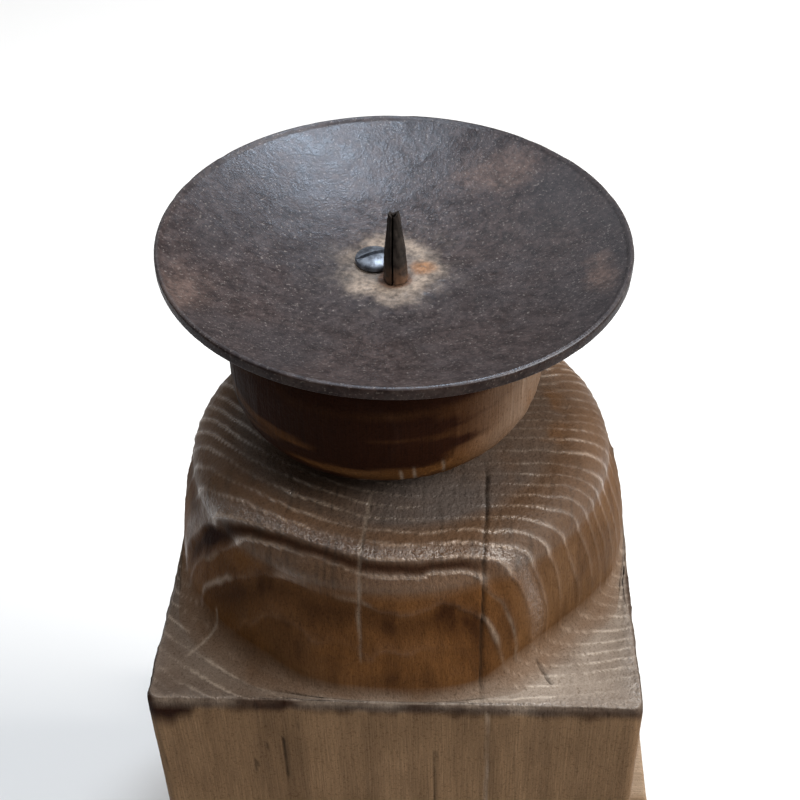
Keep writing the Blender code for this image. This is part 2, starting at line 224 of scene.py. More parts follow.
def patches(points, size, seed, low, high):
    """Soft-edged random patches: 0 where the noise is below low, 1 where it's above high."""
    return smooth_step(layered_noise(points, size, seed), low, high)


def bump_at(value, centre, width):
    """A smooth peak of 1 at the centre."""
    return np.exp(-(((value - centre) / width) ** 2))


def band_faces(index):
    """Quads between rows of point numbers that run round an axis."""
    beside = np.roll(index, -1, axis=1)
    return np.stack([index[:-1], index[1:], beside[1:], beside[:-1]], axis=-1).reshape(-1, 4).tolist()


def smooth_object(name, points, faces, material, sharp_angle=None):
    """A smooth-shaded object in the scene, with edges sharper than an angle in degrees kept sharp."""
    mesh = bpy.data.meshes.new(name)
    mesh.from_pydata(points, [], faces)
    mesh.shade_smooth()
    if sharp_angle:
        mesh.set_sharp_from_angle(angle=math.radians(sharp_angle))
    mesh.materials.append(material)
    obj = bpy.data.objects.new(name, mesh)
    bpy.context.scene.collection.objects.link(obj)
    return obj


def skin(name, grid, material, attributes=None, sharp_angle=None):
    """A closed mesh from rows of points round an axis. Its first and last rows are closed to a centre."""
    rows, columns, _ = grid.shape
    index = np.arange(rows * columns).reshape(rows, columns)
    beside = np.roll(index, -1, axis=1)
    top, low = rows * columns, rows * columns + 1
    fans = [(top, int(a), int(b)) for a, b in zip(index[0], beside[0])]
    fans += [(low, int(b), int(a)) for a, b in zip(index[-1], beside[-1])]
    centres = np.stack([grid[0].mean(axis=0), grid[-1].mean(axis=0)])
    points = np.concatenate([grid.reshape(-1, 3), centres])
    obj = smooth_object(name, points.tolist(), band_faces(index) + fans, material, sharp_angle)
    for key, values in (attributes or {}).items():
        stored = obj.data.attributes.new(key, "FLOAT", "POINT")
        centres = [values[0].mean(), values[-1].mean()]
        stored.data.foreach_set("value", np.concatenate([values.ravel(), centres]).astype(np.float32))
    return obj


def normals_of(grid):
    """The outward normal at each point of such rows."""
    down = np.gradient(grid, axis=0)
    along = np.roll(grid, -1, axis=1) - np.roll(grid, 1, axis=1)
    normal = np.cross(down, along)
    return normal / np.maximum(np.linalg.norm(normal, axis=-1, keepdims=True), 1e-12)


def turned_grid(profile, columns):
    """Rows of points round +Z from (radius, height) pairs."""
    angles = np.arange(columns) * math.tau / columns
    radius, height = np.array(profile).T
    x = radius[:, None] * np.cos(angles)
    y = radius[:, None] * np.sin(angles)
    return np.stack([x, y, np.repeat(height[:, None], columns, axis=1)], axis=-1)


def arc(centre_r, centre_z, width, height, start, end, count):
    """Points of an elliptical arc in the profile plane, between two angles in degrees."""
    angles = [math.radians(start + (end - start) * i / count) for i in range(count + 1)]
    return [(centre_r + width * math.cos(a), centre_z + height * math.sin(a)) for a in angles]


def run(start, end, count):
    """Evenly spaced values after start, up to end."""
    return [start + (end - start) * (i + 1) / count for i in range(count)]


def quarter(count):
    """(1 - cosine, 1 - sine) at even steps round a quarter turn, for a rounded edge."""
    turns = [share * math.pi / 2 for share in run(0, 1, count)]
    return [(1 - math.cos(turn), 1 - math.sin(turn)) for turn in turns]


def outline_of(angles, half_width):
    """How far the block's rounded square outline is from the axis, at each angle."""
    quarter = math.pi / 4
    turn = np.abs((angles + quarter) % (math.pi / 2) - quarter)
    flat = half_width / np.cos(turn)
    inner = half_width - CORNER_ROUND
    off = quarter - turn
    middle = inner * math.sqrt(2)
    reach = np.sqrt(np.maximum(CORNER_ROUND**2 - (middle * np.sin(off)) ** 2, 0))
    rounded = middle * np.cos(off) + reach
    return np.where(half_width * np.tan(turn) <= inner, flat, rounded)


def hewn_outline(angles, outline, height):
    """The outline where the back right corner's hewn facet cuts it, at a height from the rim plane."""
    reach = HEWN_REACH + HEWN_SLOPE * (BLOCK_TOP - height)
    facing = np.cos(angles - math.pi / 4)
    facet = np.where(facing > 0.5, reach / np.maximum(facing, 0.5), np.inf)
    return np.minimum(outline, facet)


def post_angles(half_width):
    """Column angles, closer together at the front and at the corners."""
    fine = np.linspace(0, math.tau, 8192)
    front = np.clip(0.35 - np.sin(fine), 0, 1.35)
    density = (outline_of(fine, half_width) / half_width) ** 2 * (1 + 0.8 * front)
    total = np.concatenate([[0], np.cumsum((density[1:] + density[:-1]) / 2)])
    return np.interp(np.arange(POST_COLUMNS) * total[-1] / POST_COLUMNS, total, fine)


def foot_radius(angles, outline):
    """The dome's foot in plan: hand-cut, fuller at the left, scooped away at the front right."""
    away = (angles + math.radians(45) + math.pi) % math.tau - math.pi
    scoop = 0.0034 * np.exp(-((away / math.radians(19)) ** 2))
    fuller = 0.0009 * np.maximum(0, -np.cos(angles))
    wander = 0.0004 * np.sin(5 * angles + 1.0) + 0.0003 * np.sin(9 * angles)
    return np.minimum(DOME_FOOT_RADIUS + fuller + wander - scoop, outline - FOOT_MARGIN)


def turned_rows():
    """The turned top of the post, from its seat to its shoulder: (region, centre x, radius, height)."""
    rows = [("seat", BEAD_OFFSET_X, radius, SEAT_TOP) for radius in (0.004, 0.014, 0.022)]
    curve = BEAD_RADIUS - BEAD_TOP_RADIUS
    top = arc(BEAD_TOP_RADIUS, BEAD_SIDE_TOP, curve, SEAT_TOP - BEAD_SIDE_TOP, 90, 0, 14)
    rows += [("bead", BEAD_OFFSET_X, radius, height) for radius, height in top]
    rows += [("bead", BEAD_OFFSET_X, BEAD_RADIUS, height) for height in run(BEAD_SIDE_TOP, BEAD_SIDE_LOW, 10)]
    curve = BEAD_RADIUS - NECK_RADIUS
    under = arc(NECK_RADIUS, BEAD_SIDE_LOW, curve, BEAD_SIDE_LOW - BEAD_UNDERSIDE, 0, -90, 26)[1:]
    rows += [("bead", BEAD_OFFSET_X, radius, height) for radius, height in under]
    for share in run(0, 1, 3):
        height = BEAD_UNDERSIDE + (CROWN_TOP - BEAD_UNDERSIDE) * share
        rows.append(("neck", BEAD_OFFSET_X * (1 - share), NECK_RADIUS, height))
    for share in run(0, 1, 30)[:-1]:
        radius = NECK_RADIUS + (CROWN_RADIUS - NECK_RADIUS) * share
        rows.append(("crown", 0, radius, CROWN_TOP + (CROWN_EDGE - CROWN_TOP) * share**3))
    width, drop = SHOULDER_RADIUS - CROWN_RADIUS, CROWN_EDGE - SHOULDER_LOW
    shoulder = arc(CROWN_RADIUS, SHOULDER_LOW, width, drop, 90, 0, 26)
    return rows + [("shoulder", 0, radius, height) for radius, height in shoulder]


def side_rows(foot, low):
    """The dome's side, from round at its shoulder to its hand-cut foot."""
    rows = []
    for share in run(0, 1, 44):
        height = SHOULDER_LOW + (low - SHOULDER_LOW) * share
        whole_share = (SHOULDER_LOW - height) / (SHOULDER_LOW - BLOCK_TOP)
        radius = SHOULDER_RADIUS + (foot - SHOULDER_RADIUS) * whole_share
        rows.append(("side", 0, radius + DOME_SWELL * np.sin(math.pi * whole_share), height))
    return rows


def post_rows(angles, half_width, low):
    """The post's skin from its seat to its foot, as (region, centre x, radius, height) rows."""
    square = outline_of(angles, half_width)
    outline = hewn_outline(angles, square, BLOCK_TOP)
    foot = foot_radius(angles, outline)
    room = outline - foot
    fillet = np.minimum(0.0055, 0.5 * room)
    fillet_rise = np.maximum(fillet, 0.0028)
    wear = 0.5 + 0.5 * np.sin(7 * angles + 0.6) * np.sin(3 * angles)
    arris = np.minimum(0.0014 + 0.0010 * wear, 0.45 * room)
    arris_drop = np.maximum(arris, 0.0012 + 0.0006 * wear)
    rows = turned_rows() + side_rows(foot, BLOCK_TOP + fillet_rise)
    start = rows[-1][2]
    for out, up in quarter(6):
        rows.append(("fillet", 0, start + (foot + fillet - start) * out, BLOCK_TOP + fillet_rise * up))
    table_start, table_end = foot + fillet, outline - arris
    for share in run(0, 1, 22):
        hollow = 0.03 * room * math.sin(math.pi * share)
        rows.append(("table", 0, table_start + (table_end - table_start) * share, BLOCK_TOP - hollow))
    for down, inwards in quarter(6):
        rows.append(("arris", 0, table_end + arris * (1 - inwards), BLOCK_TOP - arris_drop * down))
    block_low = low - RIM_HEIGHT
    band = BLOCK_TOP - FACE_BAND
    levels = [("face_top", level) for level in run(BLOCK_TOP - arris_drop, band, 6)]
    levels += [("face", level) for level in run(band, band - FACE_FINE, 30)]
    levels += [("face", level) for level in run(band - FACE_FINE, block_low + 0.0008, 30)]
    rows += [(region, 0, hewn_outline(angles, square, level), level) for region, level in levels]
    rows.append(("under", 0, square - 0.0008, block_low))
    rows.append(("under", 0, square * 0.5, block_low))
    return rows


def skin_points(rows, angles):
    """The points of (region, centre x, radius, height) rows at these angles."""
    x, y = np.cos(angles), np.sin(angles)
    loops = [np.broadcast_arrays(middle + radius * x, radius * y, height) for _, middle, radius, height in rows]
    return np.stack([np.stack(loop, axis=-1) for loop in loops])


def ring_distance(points):
    """How far each point lies from the pith, once the slow wander of the rings is added."""
    x, y = points[..., 0] - PITH[0], points[..., 1] - PITH[1]
    turn = np.degrees(np.arctan2(y, x))
    squeeze = 1 - RING_SQUEEZE * smooth_step(turn, SQUEEZE_START, SQUEEZE_END)
    wander = 0.75 * MM * noise(points, (0.017, 0.017, 0.030), 3)
    wander += 0.50 * MM * noise(points, (0.006, 0.006, 0.014), 5)
    wander += 0.20 * MM * noise(points, (0.0024, 0.0024, 0.005), 6)
    return np.hypot(x, y) / squeeze + wander


def ring_share(distance):
    """How far across its own year each point lies: 0 just outside a ring edge, 1 just inside the next."""
    phase = 0.30 * (np.sin(distance / 0.0095) - math.sin(MAIN_LEDGE / 0.0095))
    phase += 0.18 * (np.sin(distance / 0.0041 + 1.3) - math.sin(MAIN_LEDGE / 0.0041 + 1.3))
    return ((distance - MAIN_LEDGE) / RING_SPACING + phase) % 1


def ridge_of(distance):
    """Hard latewood stands proud: a narrow ridge of 1 just inside each ring edge, in earlywood at 0."""
    share = ring_share(distance)
    return np.clip((share - 0.50) / 0.40, 0, 1) ** 2.2 * np.clip((1 - share) / 0.09, 0, 1)


def crack_mask(points, crack):
    """1 along a crack, which stands upright over its line in plan and wanders a little."""
    start, end = np.array(crack.start), np.array(crack.end)
    along = end - start
    length = np.linalg.norm(along)
    along = along / length
    away = points[..., :2] - start
    reach = away @ along
    aside = away[..., 0] * along[1] - away[..., 1] * along[0]
    aside = aside + 0.35 * MM * noise(points, 0.007, 21) + 0.12 * MM * noise(points, 0.0016, 22)
    fade = smooth_step(reach, 0, 0.15 * length) * (1 - smooth_step(reach, 0.9 * length, length))
    height = points[..., 2]
    below_top = 1 - smooth_step(height, crack.high - 0.002, crack.high)
    above_foot = smooth_step(height, crack.low, crack.low + 0.003)
    broken = 0.75 + 0.25 * noise(points, 0.004, 23)
    return np.exp(-((aside / crack.width) ** 2)) * fade * above_foot * below_top * broken


def checks_on(points, sound):
    """Where the sound wood is checked: how deep it is cut, its dark lines and its pale ones."""
    depth, dark, light = np.zeros((3, *points.shape[:-1]))
    for crack in CRACKS:
        line = crack_mask(points, crack) * sound
        depth = depth + crack.depth * line
        dark = np.maximum(dark, line * (1 - crack.pale))
        light = np.maximum(light, line * crack.pale)
    return depth, dark, light


def blurred(values, reach=2):
    """A row-by-row value, smoothed a little so that regions run into each other."""
    padded = np.pad(values, reach, mode="edge")
    return np.convolve(padded, np.ones(2 * reach + 1) / (2 * reach + 1), mode="valid")


def on(surface, *regions, reach=3):
    """1 on the rows of these regions and 0 elsewhere, smoothed across their borders."""
    return blurred(np.array([float(row[0] in regions) for row in surface.rows]), reach)[:, None]


def region_look(rows):
    """Each column of REGIONS along the rows, smoothed where regions meet."""
    looks = [REGIONS[row[0]] for row in rows]
    return Region(*(blurred(np.array(values))[:, None] for values in zip(*looks)))


def ledge_steps(surface):
    """How deep the two strong ring edges step in on the dome's front, and how dark the wood is painted below
    them: partly painted shade under each step, partly the wood's darker colour.
    """
    past = surface.past
    side_only = smooth_step(surface.points[..., 2], -0.090, -0.078)
    left_part = 1 - smooth_step(surface.points[..., 0], 0.016, 0.028)
    main = smooth_step(past, -0.1 * MM, 0.6 * MM) * np.exp(-np.maximum(past, 0) / 0.006)
    after = past - SECOND_LEDGE
    second = smooth_step(after, -0.3 * MM, 0.4 * MM) * np.exp(-np.maximum(after, 0) / 0.006)
    step = LEDGE_DROP * (main * (0.25 + 0.75 * left_part) + 0.45 * second)
    # painted shade: a dark band below each step, partly the wood's own darker colour there
    dark = bump_at(past, 1.2 * MM, 1.1 * MM) + 0.45 * bump_at(past, 6.6 * MM, 1.0 * MM)
    return step * side_only, dark * side_only * left_part


def worn_depth(surface, relief, step, arris_wear, angles, half_width):
    """(how far the wood is worn back, the share of it that the table's narrow parts have room for)."""
    points = surface.points
    depth = relief * (0.85 + 0.35 * noise(points, 0.020, 7)) * (1 - surface.ridge)
    depth = depth + (step - DOME_PROUD) * on(surface, *DOME, reach=4)
    depth = depth + 0.07 * MM * (1 + layered_noise(points, (0.0026, 0.0026, 0.0050), 31))
    depth = depth + 0.8 * MM * np.clip(arris_wear, 0, 1)
    outline = outline_of(angles, half_width)
    narrow = np.clip((outline - foot_radius(angles, outline)) / 0.005, 0.15, 1)
    return depth, 1 - on(surface, "fillet", "table", "arris", reach=1) * (1 - narrow)


def edge_band(points):
    """The ragged dark band below the block's upper edge, taller at its front left corner."""
    drop = BLOCK_TOP - points[..., 2]
    corner = smooth_step(-points[..., 0] - points[..., 1], 0.106, 0.119)
    waves = 1.2 * noise(points, (0.009, 0.009, 0.05), 53) + 1.0 * noise(points, (0.0025, 0.0025, 0.02), 54)
    reach = (3.2 + waves + 5.0 * corner) * MM
    low_edge = 1 - smooth_step(drop, 0.6 * reach, 1.5 * reach + 0.4 * MM)
    return smooth_step(drop, -0.2 * MM, 0.6 * MM) * low_edge * (0.80 + 0.2 * corner)


def post_stain_and_shade(surface, base, shade_below):
    """Where the wood is dark: painted shade under the tray, on the bead's left side and below the ledges; dark
    brown round the arris, in bands on the bead and in streaks.
    """
    points = surface.points
    across, height = points[..., 0], points[..., 2]
    bands = patches(points, (0.030, 0.030, 0.0034), 57, -0.45, 0.45)
    # painted shade: the bead is darkened under the tray, fading out to its right where the key light reaches,
    # and its left side is darkened under its dark bands
    shaded = smooth_step(height, -0.0375, -0.0300) * (1 - smooth_step(across, 0.008, 0.038))
    left_part = 1 - smooth_step(across, 0.008, 0.036)
    # painted shade below the ledges on the dome's front, partly the wood's own darker band
    stain = base * (0.8 + 0.5 * noise(points, (0.009, 0.009, 0.012), 51)) + 0.90 * shade_below * surface.front
    stain = stain + on(surface, "bead") * (0.55 * shaded + (0.22 + 0.72 * bands) * left_part)
    corner = smooth_step(-across - points[..., 1], 0.085, 0.115)
    uneven = 0.7 + 0.5 * layered_noise(points, (0.010, 0.010, 0.010), 68)
    stain = stain + 0.60 * on(surface, "table", "fillet", reach=2) * corner * uneven
    streaks = patches(points, (0.0045, 0.0045, 0.018), 58, 0.0, 0.9)
    clouds = patches(points, (0.013, 0.013, 0.013), 62, -0.1, 0.9)
    stain = stain + on(surface, "side") * (0.30 * streaks + 0.28 * clouds)
    face = on(surface, "arris", "face_top", "face", reach=1)
    face_streaks = patches(points, (0.006, 0.006, 0.060), 66, -0.2, 1.1)
    return np.clip(stain + face * (0.30 * face_streaks + edge_band(points)), 0, 1)


def post_gloss(surface):
    """Where the wax shines: on the dome's ring ridges, above its main ledge, and along the arris."""
    rows = surface.rows
    dome = on(surface, *DOME, reach=4)
    side = on(surface, "side", reach=4)
    before_arris = [row[0] for row in rows].index("arris") - np.arange(len(rows))
    near_arris = np.where(before_arris > -6, 1 - np.clip(np.abs(before_arris) / 11, 0, 1), 0)[:, None]
    gloss = dome * (1 - 0.75 * side) * (0.30 + 0.70 * surface.ridge) + 0.9 * near_arris * surface.front
    above_ledge = bump_at(surface.past, -1.6 * MM, 1.5 * MM)
    return np.clip(gloss + 0.7 * dome * surface.front * above_ledge, 0, 1)


def pale_and_highlight_lines(surface):
    """The pale lines along the ledges' lips and round the bead's underside: partly worn wood, partly painted
    highlights.
    """
    broken = smooth_step(noise(surface.points, 0.0060, 73), -0.15, 0.50) * surface.front
    lips = 0.40 * bump_at(surface.past, 2.9 * MM, 0.20 * MM)
    lips = lips + 0.55 * bump_at(surface.past, SECOND_LEDGE - 0.1 * MM, 0.24 * MM)
    lips = lips * on(surface, "side")
    bead = 0.35 * on(surface, "bead") * bump_at(surface.points[..., 2], BEAD_LIP, 0.6 * MM)
    return broken * np.maximum(lips, bead)


def dark_lines(surface):
    """Fine hatching on the dome's front, and short dark dashes on the block's faces."""
    points = surface.points
    hatch = smooth_step(noise(points, (0.0009, 0.005, 0.010), 78), 0.15, 0.75) * surface.front
    dashes = smooth_step(noise(points, (0.0011, 0.0011, 0.008), 71) * noise(points, 0.012, 72), 0.50, 0.62)
    on_crown = on(surface, "crown", "shoulder")
    on_face = on(surface, "face_top", "face", reach=1)
    return np.maximum(0.35 * on_crown * hatch, 0.6 * on_face * dashes)


def post_tints(surface, look):
    """The shares of the grey, warm, pale and tan colours, some of them made lighter towards the right as
    painted light and shade.
    """
    points = surface.points
    across = points[..., 0]
    crown, side, bead = (on(surface, region) for region in ("crown", "side", "bead"))
    right = smooth_step(across, 0.020, 0.040)
    dry = patches(points, (0.007, 0.007, 0.016), 74, 0.0, 1.0)
    blotchy = patches(points, (0.008, 0.008, 0.010), 76, -0.1, 0.6)
    grey = crown * smooth_step(across, -0.018, 0.004) * (1 - 0.8 * right) * surface.front + 0.55 * side * dry
    # painted shade: the tables' pale grey weakens towards the left, where the dome shades them, over their own
    # weathered grey
    pale = look.pale * (0.50 + 0.50 * smooth_step(across, -0.040, 0.015))
    return {
        "grey": np.clip(grey, 0, 1),
        "warm": np.clip(look.warm + 0.75 * crown * right * blotchy, 0, 1),
        # partly painted light: the bead's right side, where the key light falls, is made paler, together with a
        # worn ridge there
        "pale": pale + 0.40 * bead * smooth_step(across, 0.012, 0.030),
        # partly painted light: the dome's side turns paler tan towards the right, where the key light falls, on
        # top of its own tan colour
        "tan": np.clip(look.tan + 0.50 * side * smooth_step(across, 0.016, 0.042), 0, 1),
    }


def kept_in_frame(grid, rows, half_width):
    """Keeps the block in its square and the seat under the tilted tray, then lifts it to its height."""
    on_block = np.array([row[0] in BLOCK for row in rows])[:, None, None]
    plan = np.where(on_block, np.clip(grid[..., :2], -half_width, half_width), grid[..., :2])
    up = TRAY_TILT @ Vector((0, 0, 1))
    seat_plane = -(FLOOR_DEPTH + SHEET + GAP + up.x * plan[..., 0] + up.y * plan[..., 1]) / up.z
    height = np.minimum(grid[..., 2], seat_plane) + RIM_HEIGHT
    return np.concatenate([plan, height[..., None]], axis=-1)


def build_post(material):
    """One weathered timber: its rings stand out as ridges, with ledges, checks and a worn arris."""
    lowest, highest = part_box("turned_post")
    half_width = highest.x
    angles = post_angles(half_width)
    rows = post_rows(angles, half_width, lowest.z)
    points = skin_points(rows, angles)
    look = region_look(rows)
    distance = ring_distance(points)
    patchy = 0.35 + 0.65 * smooth_step(noise(points, (0.011, 0.011, 0.014), 9), -0.6, 0.3)
    front = np.clip(-points[..., 1] / 0.03, 0, 1)
    surface = Surface(rows, points, distance - MAIN_LEDGE, ridge_of(distance) * patchy, front)
    step, shade_below = ledge_steps(surface)
    arris_wear = on(surface, "arris")
    arris_wear = arris_wear * (0.6 + 0.6 * layered_noise(points, (0.005, 0.005, 0.02), 41))
    depth, room = worn_depth(surface, look.relief, step, arris_wear, angles, half_width)
    cuts, dark, light = checks_on(points, look.stain < 0.9)
    below_seat = np.array([row[0] != "seat" for row in rows])[:, None]
    depth = (depth + cuts) * below_seat * room
    grid = kept_in_frame(points - normals_of(points) * depth[..., None], rows, half_width)
    stain = post_stain_and_shade(surface, look.stain, shade_below * on(surface, *DOME, reach=4))
    attributes = post_tints(surface, look)
    attributes["ridge"] = surface.ridge * look.lines
    attributes["gloss"] = post_gloss(surface) * (1 - 0.9 * stain)
    attributes["stain"] = stain
    attributes["crack"] = np.clip(np.maximum(dark, dark_lines(surface)), 0, 1)
    # the worn share also carries painted highlights along the ledges' lips and round the bead's lip
    attributes["worn"] = np.clip(np.maximum.reduce([0.6 * arris_wear, light, pale_and_highlight_lines(surface)]), 0, 1)
    return skin("weathered_post", grid, material, attributes)


def finished(obj, helpers=()):
    """The object's mesh with its modifiers applied. The helpers go."""
    bpy.context.view_layer.update()
    graph = bpy.context.evaluated_depsgraph_get()
    mesh = bpy.data.meshes.new_from_object(obj.evaluated_get(graph))
    obj.modifiers.clear()
    obj.data = mesh
    for helper in helpers:
        bpy.data.objects.remove(helper, do_unlink=True)
    return obj


def cut(obj, tools):
    """Cuts closed tools out of an object."""
    for tool in tools:
        boolean = obj.modifiers.new("Cut", "BOOLEAN")
        boolean.operation = "DIFFERENCE"
        boolean.object = tool
        boolean.solver = "EXACT"
    return finished(obj, tools)


def bar(name, size, matrix):
    """A plain box, used as a cutter."""
    x, y, z = (side / 2 for side in size)
    corners = [(a * x, b * y, c * z) for a in (-1, 1) for b in (-1, 1) for c in (-1, 1)]
    faces = [(0, 1, 3, 2), (4, 6, 7, 5), (0, 4, 5, 1), (2, 3, 7, 6), (0, 2, 6, 4), (1, 5, 7, 3)]
    mesh = bpy.data.meshes.new(name)
    mesh.from_pydata(corners, [], faces)
    obj = bpy.data.objects.new(name, mesh)
    obj.matrix_world = matrix
    bpy.context.scene.collection.objects.link(obj)
    return obj


def countersunk(clearance, low, high):
    """A countersunk head that faces down and the shank above it."""
    shank, head = PLINTH_THREAD.shank + clearance, SUNK_HEAD_RADIUS + clearance
    cone_top = SUNK_HEAD_EDGE + SUNK_HEAD_CONE
    return [(shank, high), (shank, cone_top), (head, SUNK_HEAD_EDGE), (head, low)]


def plinth_rows(outline, half, low, high):
    """The board's skin from its top's middle to its underside's, as (radius, height) rows."""
    ease = PLINTH_EASE
    inner = half - 2 * ease
    rows = [(outline / half * inner * share, high) for share in (0.15, 0.3, 0.45, 0.6, 0.72)]
    rows += [((outline - ease) * share, high) for share in run(0.75, 1, 12)]
    rows += [(outline - ease * inwards, high - ease * down) for down, inwards in quarter(4)]
    rows += [(outline, height) for height in run(high - ease, low + ease, 24)]
    rows += [(outline - ease * inwards, low + ease * up) for inwards, up in quarter(4)]
    return rows + [((outline - ease) * (1 - share), low) for share in run(0, 0.85, 10)]


def build_plinth(material):
    """A paler square board with eased edges, its grain running left to right."""
    low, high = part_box("plinth")
    half = high.x
    angles = post_angles(half)[::2]
    rows = plinth_rows(outline_of(angles, half), half, low.z, high.z)
    points = skin_points([("board", 0, radius, height) for radius, height in rows], angles)
    wander = 1.2 * MM * noise(points, (0.060, 0.012, 0.012), 61)
    distance = np.hypot(points[..., 1] - PLINTH_PITH[0], points[..., 2] - PLINTH_PITH[1]) + wander
    ridge = ridge_of(distance)
    depth = 0.12 * MM * (1 - ridge) + 0.05 * MM * (1 + layered_noise(points, (0.008, 0.002, 0.002), 65))
    points = points - normals_of(points) * np.maximum(depth, 0)[..., None]
    board = skin("pale_plinth", points, material, {"ridge": ridge})
    tools = []
    for number in range(1, 5):
        first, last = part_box(f"plinth_screw_{number}")
        centre = (first + last) / 2
        profile = countersunk(GAP, low.z - first.z - 0.002, high.z - first.z + 0.004)
        tool = skin(f"hole_{number}", turned_grid(profile, 40), material)
        tool.location = (centre.x, centre.y, first.z)
        tools.append(tool)
    return cut(board, tools)


def threaded(thread, start, end, tip, count):
    """The (radius, height) profile of a thread from start to end, on a shank that tapers to its tip."""
    profile = []
    for height in run(start, end, count):
        core = min(thread.shank, SCREW_TIP_RADIUS + thread.taper * abs(height - tip) / SCREW_POINT_LENGTH)
        crest = (0.5 + 0.5 * math.cos(math.tau * height / thread.pitch)) ** 3
        profile.append((core - thread.depth + thread.depth * crest, height))
    return profile


def build_plinth_screw(number, material):
    """A countersunk wood screw with a cross recess and a threaded shank, its head down."""
    low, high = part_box(f"plinth_screw_{number}")
    centre = (low + high) / 2
    length = high.z - low.z
    profile = [(0.0003, length)]
    profile += threaded(PLINTH_THREAD, length - 0.0005, PLAIN_SHANK_TOP, length, 100)
    profile += [(0.0022, 0.0095), (PLINTH_THREAD.shank, 0.0045), (PLINTH_THREAD.shank, 0.0031)]
    edge = SUNK_HEAD_RADIUS - 0.0001
    profile += [(edge, 0.0007), (SUNK_HEAD_RADIUS, 0.0004), (edge, 0.0001), (0.0040, 0.0)]
    screw = skin(f"wood_screw_{number}", turned_grid(profile, 32), material, sharp_angle=50)
    screw.location = (centre.x, centre.y, low.z)
    bpy.context.view_layer.update()
    at = Matrix.Translation((centre.x, centre.y, low.z))
    tools = []
    for way in (0, 1):
        turn = Matrix.Rotation(math.radians(90 * way + 20 * number), 4, "Z")
        tools.append(bar(f"recess_{number}_{way}", RECESS_SIZE, at @ turn))
    return cut(screw, tools)


def build_pad(number, material):
    """A felt disc with a fuzzy, slightly pressed edge."""
    low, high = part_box(f"felt_pad_{number}")
    centre = (low + high) / 2
    radius, thick = (high.x - low.x) / 2, high.z - low.z
    inner = radius - PAD_EDGE
    profile = [(radius * share, thick) for share in (0.2, 0.45, 0.7, 0.88)]
    profile += arc(inner, thick - PAD_EDGE, PAD_EDGE, PAD_EDGE, 90, 0, 4)
    profile += [(radius, thick * 0.6), (radius, thick * 0.4)]
    profile += arc(inner, PAD_EDGE, PAD_EDGE, PAD_EDGE, 0, -90, 4)
    profile += [(radius * share, 0) for share in (0.88, 0.7, 0.45, 0.2)]
    grid = turned_grid(profile, 120)
    fuzz = 0.5 + 0.5 * layered_noise(grid + number, 0.0016, 70 + number)
    grid = grid - normals_of(grid) * (0.12 * MM * np.clip(fuzz, 0, 2))[..., None]
    pad = skin(f"felt_disc_{number}", grid, material)
    pad.location = (centre.x, centre.y, low.z)
    return pad


def dish_height(radius):
    """The dish's upper surface, from the rim plane."""
    share = np.maximum(0.0, (radius - FLOOR_RADIUS) / (TRAY_RADIUS - FLOOR_RADIUS))
    return -FLOOR_DEPTH * (1 - share**DISH_POWER)


def tray_profile():
    """(the tray's profile from its middle out, over the rim and back beneath; how many points are on top)."""
    radii = [0.002] + run(0.002, TRAY_RADIUS - 0.0016, 78)
    profile = [(radius, float(dish_height(radius))) for radius in radii]
    profile += arc(TRAY_RADIUS - 0.0009, -0.0009, 0.0009, 0.0009, 105, 0, 8)
    profile.append((TRAY_RADIUS, -HEM_DEPTH + 0.0014))
    profile += arc(TRAY_RADIUS - HEM_ROUND, -HEM_DEPTH + HEM_ROUND, HEM_ROUND, HEM_ROUND, 0, -90, 5)
    inner = TRAY_RADIUS - HEM_WIDTH
    profile += [(inner + 0.0004, -HEM_DEPTH), (inner, -HEM_DEPTH + 0.0002)]
    profile += [(radius, float(dish_height(radius)) - SHEET) for radius in run(inner, 0.002, 40)]
    return profile, len(radii)


def build_tray(material):
    """Old sheet iron, dished by hand, with a folded edge: shallow dents, pits and a crust at its middle."""
    profile, on_top = tray_profile()
    grid = turned_grid(profile, 320)
    flat = grid * np.array([1, 1, 0])
    inside = 1 - smooth_step(np.hypot(grid[..., 0], grid[..., 1]), TRAY_RADIUS - 0.009, TRAY_RADIUS - 0.001)
    upper = (np.arange(len(profile)) < on_top)[:, None]
    dents = 0.16 * MM * noise(flat, 0.016, 81) + 0.06 * MM * layered_noise(flat, 0.006, 83)
    pits = np.clip(layered_noise(flat, 0.0016, 87) - 0.55, 0, 1) * 0.10 * MM * upper
    from_spike = np.hypot(flat[..., 0] - 0.0002, flat[..., 1] - 0.004)
    crust = bump_at(from_spike, 0.0105, 0.0022) * (0.5 + 0.5 * layered_noise(flat, 0.0026, 91)) * upper
    grid[..., 2] += (dents - pits) * inside + 0.28 * MM * crust
    nick = np.clip(noise(grid, (0.004, 0.004, 0.01), 95) - 0.35, 0, 1) * 0.25 * MM
    grid = grid - normals_of(grid) * ((0.04 * MM + nick) * (1 - inside))[..., None]
    tray = skin("iron_tray", grid, material)
    tray.matrix_world = Matrix.Translation((0, 0, RIM_HEIGHT)) @ TRAY_TILT.to_4x4()
    return tray


def spike_radius(share):
    """The cone's outer radius up its height: it tapers more towards its tip."""
    if share < SPIKE_BEND:
        return SPIKE_FOOT_RADIUS - SPIKE_WALL / 2 * share / SPIKE_BEND
    bend = SPIKE_FOOT_RADIUS - SPIKE_WALL / 2
    return bend + (SPIKE_TIP_RADIUS - bend) * (share - SPIKE_BEND) / (1 - SPIKE_BEND)


